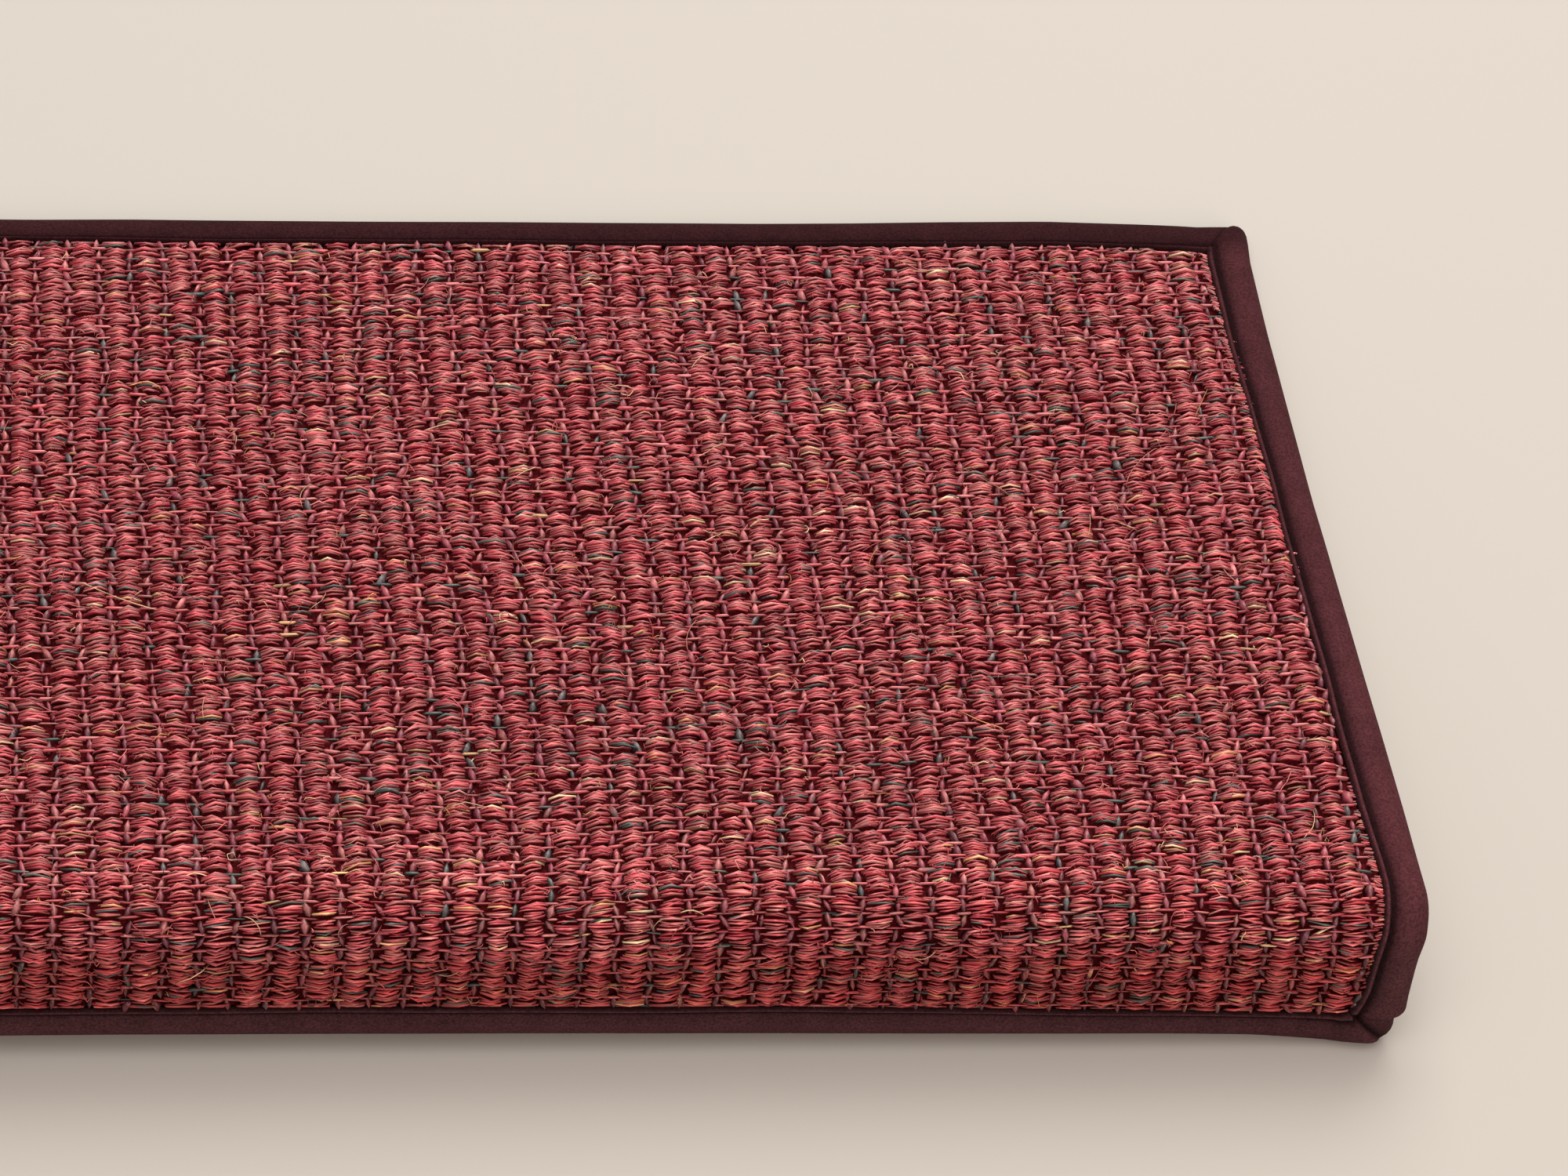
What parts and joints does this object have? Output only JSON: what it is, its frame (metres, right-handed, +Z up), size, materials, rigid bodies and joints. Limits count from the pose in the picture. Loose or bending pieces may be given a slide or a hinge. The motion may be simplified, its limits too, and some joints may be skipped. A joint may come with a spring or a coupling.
{
  "type": "sisal stair tread mat",
  "caption": "Ribbed woven sisal stair tread mat, bent over the nose of the step with a short lip, its edge bound in textile tape.",
  "frame": {"origin": "middle of the mat's footprint, on the level floor that its back edge and the end of its lip rest on", "axes": "+X across the stair, +Y to the back of the tread, +Z up; the tread part leans, front up, by 8.7 degrees"},
  "size_m": [0.65, 0.2378, 0.0403],
  "materials": {
    "woven_sisal": "coarse ribbed sisal weave, dyed red with grey and straw fibres, latex-backed",
    "textile_tape": "matt fine-woven tape, dark burgundy"
  },
  "bodies": {
    "root": {"sisal_mat": "woven_sisal", "binding_tape": "textile_tape"}
  },
  "joints": []
}
